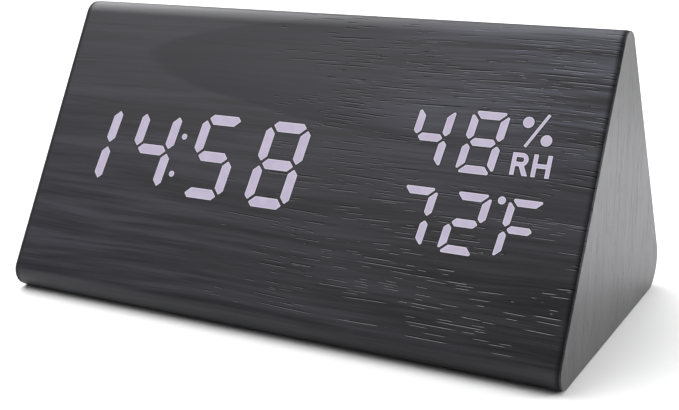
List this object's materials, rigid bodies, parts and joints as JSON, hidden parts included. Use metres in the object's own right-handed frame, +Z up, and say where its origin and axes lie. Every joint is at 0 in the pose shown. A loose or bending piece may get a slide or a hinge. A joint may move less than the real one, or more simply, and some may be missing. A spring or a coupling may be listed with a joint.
{
  "type": "desk clock with thermometer and hygrometer",
  "caption": "Lying triangular-prism desk clock in black wood-grain film that shows time, humidity and temperature through its front, with a battery bay and buttons in its rear face.",
  "frame": {"origin": "centre of the bounding box's bottom, on the surface that the clock stands on", "axes": "+X along the body to the viewer's right, +Y towards the rear, +Z up"},
  "size_m": [0.15, 0.0794, 0.0715],
  "materials": {
    "wood_grain_film": "embossed black wood grain, satin",
    "fibreboard": "bare fibreboard",
    "lit_resin": "lit, pale lavender",
    "black_plastic": "moulded black",
    "circuit_board": "green solder mask",
    "panel_plastic": "fine moulded texture",
    "button_plastic": "smooth satin",
    "plated_steel": "bright plated",
    "screw_black": "blackened",
    "cell_sleeve": "printed sleeve, plain",
    "sensor_plastic": "white moulding",
    "ribbon_grey": "flat grey cable",
    "black_wire": "insulation",
    "red_wire": "insulation"
  },
  "bodies": {
    "case": {"wrap_film": "wood_grain_film", "end_film_left": "wood_grain_film", "end_film_right": "wood_grain_film", "body_tube": "fibreboard", "end_plug_left": "fibreboard", "end_plug_right": "fibreboard", "hours_tens_guide": "lit_resin", "hours_units_guide": "lit_resin", "colon_guide": "lit_resin", "minutes_tens_guide": "lit_resin", "minutes_units_guide": "lit_resin", "humidity_tens_guide": "lit_resin", "humidity_units_guide": "lit_resin", "humidity_legend_guide": "lit_resin", "temperature_tens_guide": "lit_resin", "temperature_units_guide": "lit_resin", "temperature_legend_guide": "lit_resin", "time_display_housing": "black_plastic", "climate_display_housing": "black_plastic", "display_board": "circuit_board", "control_board": "circuit_board", "display_board_screw_1": "plated_steel", "display_board_screw_2": "plated_steel", "display_board_screw_3": "plated_steel", "display_board_screw_4": "plated_steel", "back_panel_screw_1": "screw_black", "back_panel_screw_2": "screw_black", "back_panel_screw_3": "screw_black", "back_panel_screw_4": "screw_black", "control_board_screw_1": "plated_steel", "control_board_screw_2": "plated_steel", "battery_cell_1": "cell_sleeve", "battery_cell_2": "cell_sleeve", "battery_cell_3": "cell_sleeve", "battery_spring_1": "plated_steel", "battery_spring_2": "plated_steel", "battery_spring_3": "plated_steel", "battery_contact_negative": "plated_steel", "battery_contact_positive": "plated_steel", "battery_bridge_left": "plated_steel", "battery_bridge_right": "plated_steel", "switch_set": "black_plastic", "switch_up": "black_plastic", "switch_down": "black_plastic", "back_panel": "panel_plastic", "battery_wire_negative": "black_wire", "battery_wire_positive": "red_wire", "power_socket": "black_plastic", "power_pin": "plated_steel", "buzzer": "black_plastic", "climate_sensor": "sensor_plastic", "controller_chip": "black_plastic", "quartz_crystal": "plated_steel", "ribbon_cable": "ribbon_grey"},
    "set_button": {"button_set": "button_plastic"},
    "up_button": {"button_up": "button_plastic"},
    "down_button": {"button_down": "button_plastic"},
    "door": {"battery_door": "panel_plastic"}
  },
  "joints": [
    {"name": "set_press", "type": "slide", "parent": "case", "child": "set_button", "axis": [0, -0.866, -0.5], "range_m": [0, 0.0008], "stiffness_N_per_m": 600},
    {"name": "up_press", "type": "slide", "parent": "case", "child": "up_button", "axis": [0, -0.866, -0.5], "range_m": [0, 0.0008], "stiffness_N_per_m": 600},
    {"name": "down_press", "type": "slide", "parent": "case", "child": "down_button", "axis": [0, -0.866, -0.5], "range_m": [0, 0.0008], "stiffness_N_per_m": 600},
    {"name": "door_hinge", "type": "hinge", "parent": "case", "child": "door", "pos_m": [-0.0205, 0.03309, 0.01856], "axis": [-1, 0, 0], "range_deg": [0, 95]}
  ]
}
